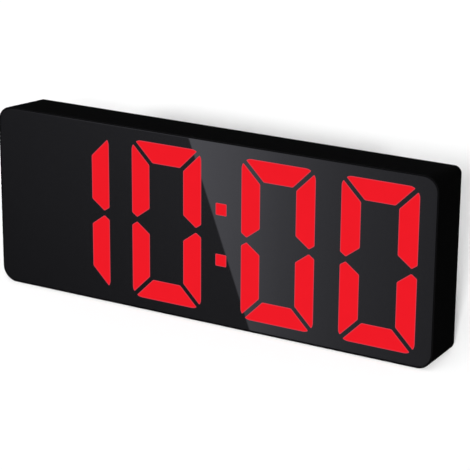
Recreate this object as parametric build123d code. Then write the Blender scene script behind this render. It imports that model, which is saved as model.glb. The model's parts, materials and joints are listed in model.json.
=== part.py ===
from build123d import *
import os
from math import sqrt

# A digital LED desk clock: a shallow black case that is closed at the front by one smoked panel,
# with four large seven-segment digits and a colon behind it.
# +X is the viewer's right, +Z is up and the panel faces -Y.
# The origin is on the table, below the middle of the case.
# Depths are counted from the case's front face towards its rear.

# Case
case_width = 165.0
case_height = 63.0
side_draft = 1.9
top_draft = 1.9
front_corner = 5.4
rear_corner = 2.4
inner_corner = 0.6
wall = 1.8
rear_wall = 1.6
lip = 0.5
lip_round = 0.2
rear_edge_round = 0.5

# Clearances
fit_gap = 0.15
slip = 0.05
block_gap = 0.3
overrun = 1.0

# Feet
foot_radius = 4.0
foot_thick = 1.0
foot_proud = 0.5
foot_round = 0.2
foot_edge_room = 14.0
foot_spread = 10.0

# Front panel, its tape and the film behind it
panel_thick = 2.0
panel_bevel = 0.35
tape_thick = 0.2
tape_width = 1.6

# Reflector block
reflector_thick = 4.2
lens_thick = 1.6
lens_ledge = 0.8
post_radius = 2.1
post_edge_room = 16.1
post_end_gap = 0.95
post_bar_gap = 0.5

# Digits
first_digit_margin = 18.1
last_digit_margin = 6.05
digit_end_margin = 3.95
digit_space = 8.7
colon_space = 14.7
upright_stroke = 7.2
bar_stroke = 7.5
digit_corner = 3.6
segment_round = 0.4
mitre_gap = 1.05
tip_gap = 1.25
tip_inset = 2.0
outer_shoulder = 1.35
inner_shoulder = 3.6
dot_size = 4.5
dot_rise = 8.7

# Light-emitting diodes
led_length = 2.0
led_width = 1.3
led_height = 0.8
led_spread = 4.5

# Boards
board_thick = 1.0
board_corner = 1.0
board_side_margin = 5.5
board_end_margin = 4.5
control_board_width = 48.0
control_board_height = 36.0
control_board_depth = 11.0
control_centre_x = 34.25
control_centre_z = 23.0
board_hole_inset = 3.5

# Screws
case_screw_radius = 1.0
case_screw_length = 6.5
case_head_radius = 2.0
case_head_height = 1.3
case_head_seat = 2.0
small_screw_radius = 0.85
small_screw_length = 3.4
small_head_radius = 1.7
small_head_height = 1.2
drive_width = 0.5
drive_length_share = 1.3
drive_depth = 0.5
control_boss_radius = 2.2
case_boss_radius = 3.4
case_boss_height = 2.0
display_hole_inset = 7.0
left_screw_margin = 9.5

# Battery bay, door and cells
cell_radius = 5.15
cell_length = 44.5
cell_nub_radius = 1.9
cell_nub_length = 0.9
cell_edge_round = 0.4
cell_gap = 0.2
cell_door_gap = 0.4
cell_count = 3
spring_room = 6.0
contact_thick = 0.4
contact_width = 7.6
bay_centre_x = -30.5
bay_base = 5.3
bay_wall = 1.6
bay_floor = 0.9
bay_board_gap = 0.3
door_ledge = 1.0
door_thick = 1.45
hinge_pin_radius = 0.4
hinge_pin_length = 0.8
latch_width = 11.0
latch_thick = 0.8
latch_reach = 3.5
latch_root = 0.25
latch_drop = 2.95
latch_top_sink = 0.1
latch_nose = 0.2
latch_nose_height = 0.6
latch_room = 4.0
latch_pocket_depth = 5.0
latch_pocket_wall = 1.2
grip_groove_width = 0.8
grip_groove_depth = 0.35
grip_groove_length = 16.0
grip_groove_pitch = 1.9
grip_groove_count = 3

# Contact springs and solder tabs
spring_wire_radius = 0.3
spring_base_radius = 3.4
spring_tip_radius = 2.0
spring_turns = 4
tab_reach = 3.0
tab_width = 2.4

# Leads and their connector
lead_radius = 0.6
lead_bend = 3.0
lead_rise = 1.5
lead_depth = 12.9
connector_length = 5.0
connector_width = 6.0
connector_height = 4.0
connector_pitch = 2.5
connector_centre_z = 23.0
connector_inset = 0.5

# Keyholes
keyhole_side_room = 9.0
keyhole_top_room = 14.0
keyhole_head_radius = 3.75
keyhole_neck_width = 4.6
keyhole_neck_rise = 7.0
keyhole_pocket_depth = 4.4
keyhole_pocket_gap = 0.3
keyhole_pocket_wall = 0.8

# Buttons and switches
button_pitch = 10.5
button_row_z = 30.5
button_radius = 3.0
button_travel = 0.3
button_flange = 0.8
button_flange_thick = 0.8
button_sink = 0.2
button_edge_round = 0.3
button_mark_depth = 0.2
button_mark_width = 0.6
button_mark_length = 2.6
button_pocket_depth = 1.0
button_pocket_margin = 2.4
button_pocket_corner_share = 0.45
button_wall = 1.4
switch_size = 6.0
switch_height = 3.4
switch_corner = 0.5
plunger_radius = 1.7
plunger_engagement = 0.3

# Power socket
socket_x = 44.0
socket_z = 13.0
socket_width = 8.94
socket_thick = 3.26
socket_corner = 1.5
socket_shell = 0.3
socket_sink = 0.4
socket_base = 1.5
tongue_width = 6.7
tongue_thick = 0.7
tongue_sink = 0.9
socket_hole_gap = 0.3

# Parts on the boards
buzzer_x = 21.5
buzzer_z = 15.0
buzzer_radius = 6.0
buzzer_height = 5.6
buzzer_hole_radius = 1.0
buzzer_hole_depth = 1.2
buzzer_edge = 0.5
sound_hole_radius = 0.6
sound_ring_radius = 2.6
sound_hole_count = 6
capacitor_x = 33.0
capacitor_z = 13.5
capacitor_radius = 2.5
capacitor_height = 5.4
capacitor_round = 0.5
capacitor_base = 0.8
capacitor_base_size = 5.4
chip_lead_pitch = 1.27
chip_lead_width = 0.45
chip_lead_thick = 0.3
chip_foot = 0.7
controller_x = 34.25
controller_z = 22.0
controller_length = 10.3
controller_width = 4.0
controller_height = 1.6
controller_leads = 8
driver_header_gap = 1.0
driver_length = 18.0
driver_width = 5.3
driver_height = 2.0
driver_leads = 14
crystal_x = 46.5
crystal_z = 21.5
crystal_radius = 1.0
crystal_length = 6.0
header_pitch = 2.54
header_pins = 10
header_z = 38.3
header_pin_size = 0.6
header_pin_proud = 0.8
resistor_length = 2.0
resistor_width = 1.25
resistor_height = 0.6
resistor_pitch = 3.6
resistor_count = 8
resistor_x = -48.0
resistor_z = 44.0

# Depths, from the front
seat_depth = panel_thick + tape_thick
reflector_back = seat_depth + reflector_thick
display_board_back = reflector_back + board_thick
bay_floor_front = display_board_back + bay_board_gap
bay_floor_back = bay_floor_front + bay_floor
cell_depth = bay_floor_back + cell_gap + cell_radius
door_seat = cell_depth + cell_radius + cell_door_gap
door_inner = door_seat + slip
case_depth = door_inner + door_thick
beyond_rear = case_depth + overrun
rear_inner = case_depth - rear_wall
control_board_back = control_board_depth + board_thick
post_top = rear_inner - case_boss_height
pocket_floor = case_depth - button_pocket_depth
button_wall_inner = pocket_floor - button_wall
flange_depth = button_wall_inner - slip
plunger_top = flange_depth - button_flange_thick
switch_top = control_board_back + switch_height
button_top = case_depth - button_sink
hinge_depth = case_depth - door_thick / 2
front_y = -case_depth / 2

# Heights and widths
case_bottom = foot_proud
case_middle = case_bottom + case_height / 2
rear_top = case_bottom + case_height - top_draft
digit_height = case_height - 2 * digit_end_margin
digits_room = case_width - first_digit_margin - last_digit_margin - 2 * digit_space - colon_space
digit_width = digits_room / 4
digit_pitch = digit_width + digit_space
half_digit_width = digit_width / 2
half_digit_height = digit_height / 2
display_board_width = case_width - 2 * board_side_margin
display_board_height = case_height - 2 * board_end_margin
cell_pitch = 2 * cell_radius + cell_gap
bay_length = cell_length + spring_room + 2 * contact_thick
bay_height = cell_count * cell_pitch + cell_gap
bay_left = bay_centre_x - bay_length / 2
bay_right = bay_centre_x + bay_length / 2
bay_bottom = case_bottom + bay_base
bay_top = bay_bottom + bay_height
opening_bottom = bay_bottom - door_ledge
opening_top = bay_top + door_ledge
opening_width = bay_length + 2 * door_ledge
door_width = opening_width - 2 * fit_gap
hinge_z = opening_bottom + fit_gap + door_thick / 2
cell_heights = [bay_bottom + cell_gap + cell_radius + n * cell_pitch for n in range(cell_count)]
control_left = control_centre_x - control_board_width / 2
lead_drop_x = (bay_right + bay_wall + control_left) / 2
right_digit_x = case_width / 2 - last_digit_margin - half_digit_width
left_pair_shift = colon_space - digit_space
keyhole_head_z = rear_top - keyhole_top_room
driver_z = header_z + header_pitch / 2 + driver_header_gap + chip_lead_thick + chip_foot + driver_width / 2

digit_places = {
    "hour_tens": right_digit_x - 3 * digit_pitch - left_pair_shift,
    "hour_units": right_digit_x - 2 * digit_pitch - left_pair_shift,
    "minute_tens": right_digit_x - digit_pitch,
    "minute_units": right_digit_x,
}
lit_letters = {
    "hour_tens": "bc",
    "hour_units": "abcdef",
    "minute_tens": "abcdef",
    "minute_units": "abcdef",
}
all_letters = "abcdefg"
colon_x = (digit_places["hour_units"] + digit_places["minute_tens"]) / 2

post_heights = [
    case_middle - half_digit_height + bar_stroke + post_radius + post_end_gap,
    case_middle + bar_stroke / 2 + post_radius + post_bar_gap,
]
post_places = [(side * (case_width / 2 - post_edge_room), z) for side in (-1, 1) for z in post_heights]
display_screw_columns = [
    -case_width / 2 + left_screw_margin,
    colon_x,
    (digit_places["minute_tens"] + digit_places["minute_units"]) / 2,
]
display_screw_rise = display_board_height / 2 - display_hole_inset
display_screw_places = [
    (x, case_middle + level * display_screw_rise) for x in display_screw_columns for level in (-1, 1)
]
driver_x = (display_screw_columns[1] + display_screw_columns[2]) / 2
control_hole_x = control_board_width / 2 - board_hole_inset
control_hole_z = control_board_height / 2 - board_hole_inset
control_screw_places = [
    (control_centre_x + side * control_hole_x, control_centre_z + level * control_hole_z)
    for side in (-1, 1)
    for level in (-1, 1)
]
button_names = ["alarm", "down", "up", "set"]
button_places = {
    name: control_centre_x + (number - (len(button_names) - 1) / 2) * button_pitch
    for number, name in enumerate(button_names)
}
header_places = [
    control_centre_x + (number - (header_pins - 1) / 2) * header_pitch for number in range(header_pins)
]
keyhole_places = [side * (case_width / 2 - keyhole_side_room) for side in (-1, 1)]
foot_x = case_width / 2 - foot_edge_room
foot_places = [(side * foot_x, level * foot_spread / 2) for side in (-1, 1) for level in (-1, 1)]


def plane_at(depth):
    """The drawing plane at a depth, with its own x to the right and its own y up."""
    return Plane.XZ.offset(-(front_y + depth))


def slab(outline, near, far):
    """An outline drawn as seen from the front, made solid between two depths."""
    return extrude(plane_at(far) * outline, amount=far - near)


def rod(x, z, radius, near, far):
    """A round rod or hole that runs from front to rear."""
    return slab(Pos(x, z) * Circle(radius), near, far)


def block(left, right, bottom, top, near, far):
    """A box given by its sides."""
    middle = Pos((left + right) / 2, (bottom + top) / 2)
    return slab(middle * Rectangle(right - left, top - bottom), near, far)


def cross_bar(x, z, depth, radius, length):
    """A round bar along X."""
    return Pos(x, front_y + depth, z) * Rot(0, 90, 0) * Cylinder(radius, length)


def flat(points):
    """A flat outline through points, whichever way round they are listed."""
    area = 0
    for (x1, y1), (x2, y2) in zip(points, points[1:] + points[:1]):
        area += x1 * y2 - x2 * y1
    return Polygon(*(points if area > 0 else points[::-1]), align=None)


def case_section(depth, inset=0, least_corner=0):
    """The case's rounded outline at a depth, drawn in by an inset."""
    share = depth / case_depth
    width = case_width - 2 * side_draft * share - 2 * inset
    height = case_height - top_draft * share - 2 * inset
    corner = front_corner + (rear_corner - front_corner) * share - inset
    middle = case_bottom + (case_height - top_draft * share) / 2
    outline = Pos(0, middle) * RectangleRounded(width, height, max(corner, least_corner))
    return plane_at(depth) * outline


def case_form(near, far, inset=0, least_corner=0):
    """The tapered form of the case between two depths."""
    sections = [case_section(depth, inset, least_corner) for depth in (near, far)]
    return loft(sections, ruled=True)


def cross_recess(x, z, near, far, length):
    """The cross that a screwdriver fits."""
    bars = Rectangle(length, drive_width) + Rectangle(drive_width, length)
    return slab(Pos(x, z) * bars, near, far)


def screw(x, z, seat, way, radius, length, head_radius, head_height):
    """A pan-head screw whose head sits on a seat, and whose shank runs rearwards or forwards."""
    shank = rod(x, z, radius, min(seat, seat + way * length), max(seat, seat + way * length))
    head_end = seat - way * head_height
    head = rod(x, z, head_radius, min(seat, head_end), max(seat, head_end))
    drive_end = head_end + way * drive_depth
    drive_length = drive_length_share * head_radius
    return shank + head - cross_recess(x, z, min(head_end, drive_end), max(head_end, drive_end), drive_length)


def upright_segment(side, level):
    """One of a digit's four uprights, with a mitre at its outer end and a point at its inner end."""
    outer = side * half_digit_width
    inner = outer - side * upright_stroke
    shift = mitre_gap / sqrt(2)
    points = [
        (outer, level * (tip_gap / 2 + outer_shoulder)),
        (outer - side * tip_inset, level * tip_gap / 2),
        (inner, level * (tip_gap / 2 + inner_shoulder)),
        (inner, level * (half_digit_height - upright_stroke - shift)),
        (outer, level * (half_digit_height - shift)),
    ]
    return flat(points)


def end_bar_segment(level):
    """The top or bottom bar of a digit, mitred at both ends."""
    shift = mitre_gap / sqrt(2)
    outer_half = half_digit_width - shift
    inner_half = half_digit_width - bar_stroke - shift
    outer = level * half_digit_height
    inner = level * (half_digit_height - bar_stroke)
    return flat([(-outer_half, outer), (outer_half, outer), (inner_half, inner), (-inner_half, inner)])


def middle_bar_segment():
    """The middle bar, whose ends lie along the uprights' points."""
    slant_x = upright_stroke - tip_inset
    slant = sqrt(slant_x**2 + inner_shoulder**2)
    run_share = slant_x / inner_shoulder
    back = mitre_gap * slant / inner_shoulder - tip_gap / 2 * run_share
    tip = half_digit_width - tip_inset - back
    shoulder = tip - bar_stroke / 2 * run_share
    half = bar_stroke / 2
    upper = [(tip, 0), (shoulder, half), (-shoulder, half)]
    lower = [(-tip, 0), (-shoulder, -half), (shoulder, -half)]
    return flat(upper + lower)


def rounded(outline):
    """An outline with its sharp corners eased."""
    return offset(offset(outline, -segment_round, kind=Kind.INTERSECTION), segment_round)


def segment_outline(letter):
    """A segment of a digit, about the digit's centre."""
    shapes = {
        "a": lambda: end_bar_segment(1),
        "b": lambda: upright_segment(1, 1),
        "c": lambda: upright_segment(1, -1),
        "d": lambda: end_bar_segment(-1),
        "e": lambda: upright_segment(-1, -1),
        "f": lambda: upright_segment(-1, 1),
        "g": lambda: middle_bar_segment(),
    }
    body = RectangleRounded(digit_width, digit_height, digit_corner)
    return rounded(shapes[letter]() & body)


def segment_centre(letter):
    """The centre of a segment and the direction in which it is long."""
    column = half_digit_width - upright_stroke / 2
    row = half_digit_height - bar_stroke / 2
    centres = {
        "a": (0, row, 1, 0),
        "b": (column, half_digit_height / 2, 0, 1),
        "c": (column, -half_digit_height / 2, 0, 1),
        "d": (0, -row, 1, 0),
        "e": (-column, -half_digit_height / 2, 0, 1),
        "f": (-column, half_digit_height / 2, 0, 1),
        "g": (0, 0, 1, 0),
    }
    return centres[letter]


def digit_outlines(place, letters):
    """The outlines of some of a digit's segments, in place."""
    return [Pos(place, case_middle) * segment_outline(letter) for letter in letters]


def colon_outlines():
    """The two square dots of the colon, in place."""
    dot = rounded(Rectangle(dot_size, dot_size))
    return [Pos(colon_x, case_middle + level * dot_rise) * dot for level in (-1, 1)]


def all_outlines():
    """Every light window of the display."""
    outlines = colon_outlines()
    for place in digit_places.values():
        outlines += digit_outlines(place, all_letters)
    return outlines


def joined(shapes):
    """Shapes as one, cut or joined in a single step."""
    return shapes[0] + shapes[1:] if len(shapes) > 1 else shapes[0]


def make_front_panel():
    """The smoked panel, bevelled round its front edge."""
    inset = lip + fit_gap / 2
    outline = RectangleRounded(case_width - 2 * inset, case_height - 2 * inset, front_corner - inset)
    panel = slab(Pos(0, case_middle) * outline, 0, panel_thick)
    front_edges = panel.faces().sort_by(Axis.Y)[0].edges()
    return chamfer(front_edges, panel_bevel)


def make_panel_tape():
    """The ring of adhesive tape between the panel and the reflector block."""
    return slab(reflector_outline() - film_outline(), panel_thick, seat_depth)


def reflector_outline():
    """The reflector block's outline, which clears the tapered case at the block's rear."""
    share = reflector_back / case_depth
    inset = wall + block_gap
    width = case_width - 2 * side_draft * share - 2 * inset
    height = case_height - top_draft * share - 2 * inset
    middle = case_bottom + (case_height - top_draft * share) / 2
    return Pos(0, middle) * RectangleRounded(width, height, front_corner - inset)


def film_outline():
    """The area inside the tape."""
    return offset(reflector_outline(), -tape_width, kind=Kind.INTERSECTION)


def make_diffuser_film():
    """The film that evens out the light, inside the tape."""
    return slab(film_outline(), panel_thick, seat_depth)


def make_reflector_block():
    """The block of light wells, with the four posts that the case screws grip."""
    solid = slab(reflector_outline(), seat_depth, reflector_back)
    windows = all_outlines()
    seats = joined([offset(window, slip) for window in windows])
    wells = joined([offset(window, -lens_ledge, kind=Kind.INTERSECTION) for window in windows])
    solid -= slab(seats, seat_depth, seat_depth + lens_thick)
    solid -= slab(wells, seat_depth, reflector_back)
    screw_end = display_board_back - small_screw_length
    for x, z in display_screw_places:
        solid -= rod(x, z, small_screw_radius, screw_end, reflector_back)
    for x, z in post_places:
        solid += rod(x, z, post_radius, reflector_back, post_top)
    screw_start = case_depth - case_head_seat - case_screw_length
    for x, z in post_places:
        solid -= rod(x, z, case_screw_radius, screw_start, post_top)
    return solid


def make_lenses(outlines):
    """Light windows that sit on the ledges of the reflector's wells."""
    return slab(joined(outlines), seat_depth, seat_depth + lens_thick)


def make_segment_leds():
    """Two diodes behind each segment and one behind each dot."""
    near = reflector_back - led_height
    leds = []
    for place in digit_places.values():
        for letter in all_letters:
            x, z, run_x, run_z = segment_centre(letter)
            size = (led_length, led_width) if run_x else (led_width, led_length)
            for way in (-1, 1):
                at = Pos(place + x + way * run_x * led_spread, case_middle + z + way * run_z * led_spread)
                leds.append(slab(at * Rectangle(*size), near, reflector_back))
    for level in (-1, 1):
        at = Pos(colon_x, case_middle + level * dot_rise)
        leds.append(slab(at * Rectangle(led_length, led_width), near, reflector_back))
    return joined(leds)


def make_display_board():
    """The board behind the reflector block, with holes for the posts, screws and link pins."""
    outline = Pos(0, case_middle) * RectangleRounded(display_board_width, display_board_height, board_corner)
    board = slab(outline, reflector_back, display_board_back)
    for x, z in post_places:
        board -= rod(x, z, post_radius + fit_gap, reflector_back, display_board_back)
    for x, z in display_screw_places:
        board -= rod(x, z, small_screw_radius + slip, reflector_back, display_board_back)
    return board - pin_holes(reflector_back, display_board_back)


def pin_holes(near, far):
    """The row of square holes that the link pins pass through."""
    size = header_pin_size + 2 * slip
    holes = [Pos(x, header_z) * Rectangle(size, size) for x in header_places]
    return slab(joined(holes), near, far)


def make_display_board_screws():
    """The screws that hold the display board to the reflector block."""
    sizes = (small_screw_radius, small_screw_length, small_head_radius, small_head_height)
    return joined([screw(x, z, display_board_back, -1, *sizes) for x, z in display_screw_places])


def make_chip(x, z, length, width, height, leads, face):
    """A moulded chip on a board's rear face, with a row of bent leads along both sides."""
    chip = block(x - length / 2, x + length / 2, z - width / 2, z + width / 2, face + slip, face + height)
    lead_top = face + height / 2
    for number in range(leads):
        lead_x = x + (number - (leads - 1) / 2) * chip_lead_pitch
        left = lead_x - chip_lead_width / 2
        right = lead_x + chip_lead_width / 2
        for side in (-1, 1):
            inner = z + side * width / 2
            knee = inner + side * chip_lead_thick
            toe = inner + side * (chip_lead_thick + chip_foot)
            leg = block(left, right, min(inner, knee), max(inner, knee), face, lead_top)
            foot = block(left, right, min(inner, toe), max(inner, toe), face, face + chip_lead_thick)
            chip += [leg, foot]
    return chip


def make_display_resistors():
    """A row of small resistors on the display board's rear face."""
    rear = display_board_back + resistor_height
    row = []
    for number in range(resistor_count):
        at = Pos(resistor_x + number * resistor_pitch, resistor_z)
        row.append(slab(at * Rectangle(resistor_width, resistor_length), display_board_back, rear))
    return joined(row)


def make_control_board():
    """The board that carries the switches, the sounder and the power socket."""
    outline = RectangleRounded(control_board_width, control_board_height, board_corner)
    place = Pos(control_centre_x, control_centre_z)
    board = slab(place * outline, control_board_depth, control_board_back)
    for x, z in control_screw_places:
        board -= rod(x, z, small_screw_radius + slip, control_board_depth, control_board_back)
    return board - pin_holes(control_board_depth, control_board_back)


def make_control_board_screws():
    """The screws that hold the control board to the housing's bosses."""
    sizes = (small_screw_radius, 2 * small_screw_length, small_head_radius, small_head_height)
    return joined([screw(x, z, control_board_depth, 1, *sizes) for x, z in control_screw_places])


def make_link_header():
    """The plastic spacer of the row of pins that joins the two boards."""
    length = header_pins * header_pitch
    outline = Pos(control_centre_x, header_z) * Rectangle(length, header_pitch)
    header = slab(outline, display_board_back, control_board_depth)
    return header - pin_holes(display_board_back, control_board_depth)


def make_link_pins():
    """The pins of the link, which pass through both boards."""
    pins = [Pos(x, header_z) * Rectangle(header_pin_size, header_pin_size) for x in header_places]
    return slab(joined(pins), reflector_back + slip, control_board_back + header_pin_proud)


def make_buzzer():
    """The sounder, with its sound hole towards the rear."""
    rear = control_board_back + buzzer_height
    can = rod(buzzer_x, buzzer_z, buzzer_radius, control_board_back, rear)
    can = chamfer(can.edges().sort_by(Axis.Y)[-1], buzzer_edge)
    return can - rod(buzzer_x, buzzer_z, buzzer_hole_radius, rear - buzzer_hole_depth, rear)


def make_filter_capacitor():
    """The smoothing capacitor: a can on a square plastic base."""
    rear = control_board_back + capacitor_height
    base_rear = control_board_back + capacitor_base
    can = rod(capacitor_x, capacitor_z, capacitor_radius, base_rear, rear)
    can = fillet(can.edges().sort_by(Axis.Y)[-1], capacitor_round)
    base = Pos(capacitor_x, capacitor_z) * Rectangle(capacitor_base_size, capacitor_base_size)
    return can + slab(base, control_board_back, base_rear)


def make_clock_crystal():
    """The watch crystal that lies on the control board."""
    depth = control_board_back + crystal_radius
    return cross_bar(crystal_x, crystal_z, depth, crystal_radius, crystal_length)


def socket_outline(inset):
    """The power socket's oval outline, drawn in by an inset."""
    outline = RectangleRounded(socket_width - 2 * inset, socket_thick - 2 * inset, socket_corner - inset)
    return Pos(socket_x, socket_z) * outline


def make_socket_shell():
    """The socket's steel shell, closed at the board."""
    shell = slab(socket_outline(0), control_board_back, case_depth - socket_sink)
    bore = slab(socket_outline(socket_shell), control_board_back + socket_shell, case_depth)
    return shell - bore


def make_socket_tongue():
    """The insulating base and contact tongue inside the socket."""
    near = control_board_back + socket_shell
    base = slab(socket_outline(socket_shell + slip), near, near + socket_base)
    tongue = Pos(socket_x, socket_z) * Rectangle(tongue_width, tongue_thick)
    return base + slab(tongue, near, case_depth - tongue_sink)


def make_switch(x):
    """The body of a tactile switch."""
    outline = Pos(x, button_row_z) * RectangleRounded(switch_size, switch_size, switch_corner)
    body = slab(outline, control_board_back, switch_top)
    well = plunger_engagement + button_travel + slip
    return body - rod(x, button_row_z, plunger_radius + slip, switch_top - well, switch_top)


def make_plunger(x):
    """The switch's plunger, which the button pushes."""
    return rod(x, button_row_z, plunger_radius, switch_top - plunger_engagement, plunger_top)


def button_mark(name):
    """The raised bars that tell the buttons apart by touch."""
    bar = Rectangle(button_mark_length, button_mark_width)
    half = button_mark_length / 2
    marks = {
        "alarm": lambda: Circle(half) - Circle(half - button_mark_width),
        "down": lambda: bar,
        "up": lambda: bar + Rectangle(button_mark_width, button_mark_length),
        "set": lambda: Circle(button_mark_width),
    }
    return marks[name]()


def make_button(name, x):
    """A push button with an engraved mark and a flange that keeps it in the housing."""
    cap = rod(x, button_row_z, button_radius, flange_depth, button_top)
    cap = fillet(cap.edges().sort_by(Axis.Y)[-1], button_edge_round)
    cap += rod(x, button_row_z, button_radius + button_flange, plunger_top, flange_depth)
    mark = Pos(x, button_row_z) * button_mark(name)
    return cap - slab(mark, button_top - button_mark_depth, button_top)


def make_cell(z, plus_side):
    """A slim round cell, with its positive nub against the bare contact."""
    body_length = cell_length - cell_nub_length
    plate = bay_centre_x + plus_side * (bay_length / 2 - contact_thick)
    body_x = plate - plus_side * (cell_nub_length + body_length / 2)
    body = cross_bar(body_x, z, cell_depth, cell_radius, body_length)
    body = fillet(body.edges().filter_by(GeomType.CIRCLE), cell_edge_round)
    nub = cross_bar(plate - plus_side * cell_nub_length / 2, z, cell_depth, cell_nub_radius, cell_nub_length)
    return body + nub


def make_contact(side, bottom, top, tab_z=None):
    """A contact plate on an end wall of the battery bay, with or without a solder tab."""
    outer = bay_right if side > 0 else bay_left
    inner = outer - side * contact_thick
    far = cell_depth + contact_width / 2
    plate = block(min(outer, inner), max(outer, inner), bottom, top, bay_floor_back, far)
    if tab_z is None:
        return plate
    end = outer + side * (bay_wall + tab_reach)
    near, far = lead_depth - tab_width / 2, lead_depth + tab_width / 2
    half = contact_thick / 2
    return plate + block(min(inner, end), max(inner, end), tab_z - half, tab_z + half, near, far)


def make_spring(side, z):
    """A conical contact spring between an end plate and the flat end of a cell."""
    plate = bay_centre_x + side * (bay_length / 2 - contact_thick)
    start_x = plate - side * spring_wire_radius
    length = spring_room - 2 * spring_wire_radius
    halves = 2 * spring_turns
    y = front_y + cell_depth

    def point(quarter):
        share = quarter / (2 * halves)
        radius = spring_base_radius + (spring_tip_radius - spring_base_radius) * share
        over, up = [(0, 1), (1, 0), (0, -1), (-1, 0)][quarter % 4]
        return (start_x - side * length * share, y + over * radius, z + up * radius)

    arcs = [ThreePointArc(point(2 * n), point(2 * n + 1), point(2 * n + 2)) for n in range(halves)]
    path = Wire(arcs)
    section = Plane(origin=path @ 0, z_dir=path % 0) * Circle(spring_wire_radius)
    return sweep(section, path=path)


def make_lead(points):
    """An insulated lead along straight runs joined by arcs."""
    path = FilletPolyline(*[(x, front_y + lead_depth, z) for x, z in points], radius=lead_bend)
    section = Plane(origin=path @ 0, z_dir=path % 0) * Circle(lead_radius)
    return sweep(section, path=path)


def make_battery_connector():
    """The plug that brings the two battery leads to the control board."""
    left = control_left + connector_inset
    bottom = connector_centre_z - connector_width / 2
    top = connector_centre_z + connector_width / 2
    rear = control_board_back + connector_height
    return block(left, left + connector_length, bottom, top, control_board_back, rear)


def keyhole_outline(x):
    """A keyhole: a round entry with a narrower slot above it."""
    head = Pos(x, keyhole_head_z) * Circle(keyhole_head_radius)
    neck_top = keyhole_head_z + keyhole_neck_rise
    slot = Pos(x, (keyhole_head_z + neck_top) / 2) * Rectangle(keyhole_neck_width, keyhole_neck_rise)
    return head + slot + Pos(x, neck_top) * Circle(keyhole_neck_width / 2)


def keyhole_room(x, margin):
    """The room behind a keyhole, in which a screw's head can slide up."""
    half = keyhole_head_radius + keyhole_pocket_gap + margin
    bottom = keyhole_head_z - half
    top = keyhole_head_z + keyhole_neck_rise + half
    return Pos(x, (bottom + top) / 2) * Rectangle(2 * half, top - bottom)


def button_pocket(margin):
    """The shallow pocket round the row of buttons."""
    width = (len(button_names) - 1) * button_pitch + 2 * (button_radius + button_pocket_margin + margin)
    height = 2 * (button_radius + button_pocket_margin + margin)
    outline = RectangleRounded(width, height, button_pocket_corner_share * height)
    return Pos(control_centre_x, button_row_z) * outline


def add_battery_bay(housing):
    """The battery bay with its door opening, latch pocket, hinge holes and tab slits."""
    left, right = bay_left - bay_wall, bay_right + bay_wall
    bottom, top = bay_bottom - bay_wall, bay_top + bay_wall
    housing += block(left, right, bottom, top, bay_floor_front, rear_inner)
    pocket_half = latch_width / 2 + block_gap
    outer_half = pocket_half + latch_pocket_wall
    left, right = bay_centre_x - outer_half, bay_centre_x + outer_half
    top = opening_top + latch_room
    pocket_near = case_depth - latch_pocket_depth
    outer_near = pocket_near - latch_pocket_wall
    housing += block(left, right, bay_top, top + latch_pocket_wall, outer_near, rear_inner)
    housing -= block(bay_left, bay_right, bay_bottom, bay_top, bay_floor_back, beyond_rear)
    opening_half = opening_width / 2
    left, right = bay_centre_x - opening_half, bay_centre_x + opening_half
    housing -= block(left, right, opening_bottom, opening_top, door_seat, beyond_rear)
    left, right = bay_centre_x - pocket_half, bay_centre_x + pocket_half
    housing -= block(left, right, opening_top, top, pocket_near, beyond_rear)
    hole_length = opening_width + 2 * (hinge_pin_length + fit_gap)
    housing -= cross_bar(bay_centre_x, hinge_z, hinge_depth, hinge_pin_radius + slip, hole_length)
    near, far = lead_depth - tab_width / 2 - slip, lead_depth + tab_width / 2 + slip
    half = contact_thick / 2 + slip
    low, high = cell_heights[0], cell_heights[-1]
    housing -= block(bay_left - bay_wall, bay_left, high - half, high + half, near, far)
    return housing - block(bay_right, bay_right + bay_wall, low - half, low + half, near, far)


def add_screw_seats(housing):
    """The case screws' bosses and counterbores, and the control board's bosses."""
    seat = case_depth - case_head_seat
    for x, z in post_places:
        housing += rod(x, z, case_boss_radius, post_top, rear_inner)
    for x, z in post_places:
        housing -= rod(x, z, case_screw_radius + slip, post_top, seat)
        housing -= rod(x, z, case_head_radius + fit_gap, seat, beyond_rear)
    boss_end = control_board_depth + 2 * small_screw_length
    for x, z in control_screw_places:
        housing += rod(x, z, control_boss_radius, control_board_back, rear_inner)
        housing -= rod(x, z, small_screw_radius, control_board_back, boss_end)
    return housing


def add_button_pocket(housing):
    """The pocket that the buttons stand in, and their holes."""
    housing += slab(button_pocket(button_wall), button_wall_inner, rear_inner)
    housing -= slab(button_pocket(0), pocket_floor, beyond_rear)
    for x in button_places.values():
        housing -= rod(x, button_row_z, button_radius + fit_gap, button_wall_inner, pocket_floor)
    return housing


def add_keyholes(housing):
    """The two keyholes with a closed pocket behind each."""
    pocket_near = rear_inner - keyhole_pocket_depth
    for x in keyhole_places:
        housing += slab(keyhole_room(x, keyhole_pocket_wall), pocket_near - keyhole_pocket_wall, rear_inner)
        housing -= slab(keyhole_room(x, 0), pocket_near, rear_inner)
        housing -= slab(keyhole_outline(x), rear_inner, beyond_rear)
    return housing


def add_rear_holes(housing):
    """The hole round the power socket, and the sound holes over the sounder."""
    housing -= slab(socket_outline(-socket_hole_gap), rear_inner, beyond_rear)
    holes = [Circle(sound_hole_radius)]
    holes += PolarLocations(sound_ring_radius, sound_hole_count) * Circle(sound_hole_radius)
    return housing - slab(Pos(buzzer_x, buzzer_z) * joined(holes), rear_inner, beyond_rear)


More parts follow.
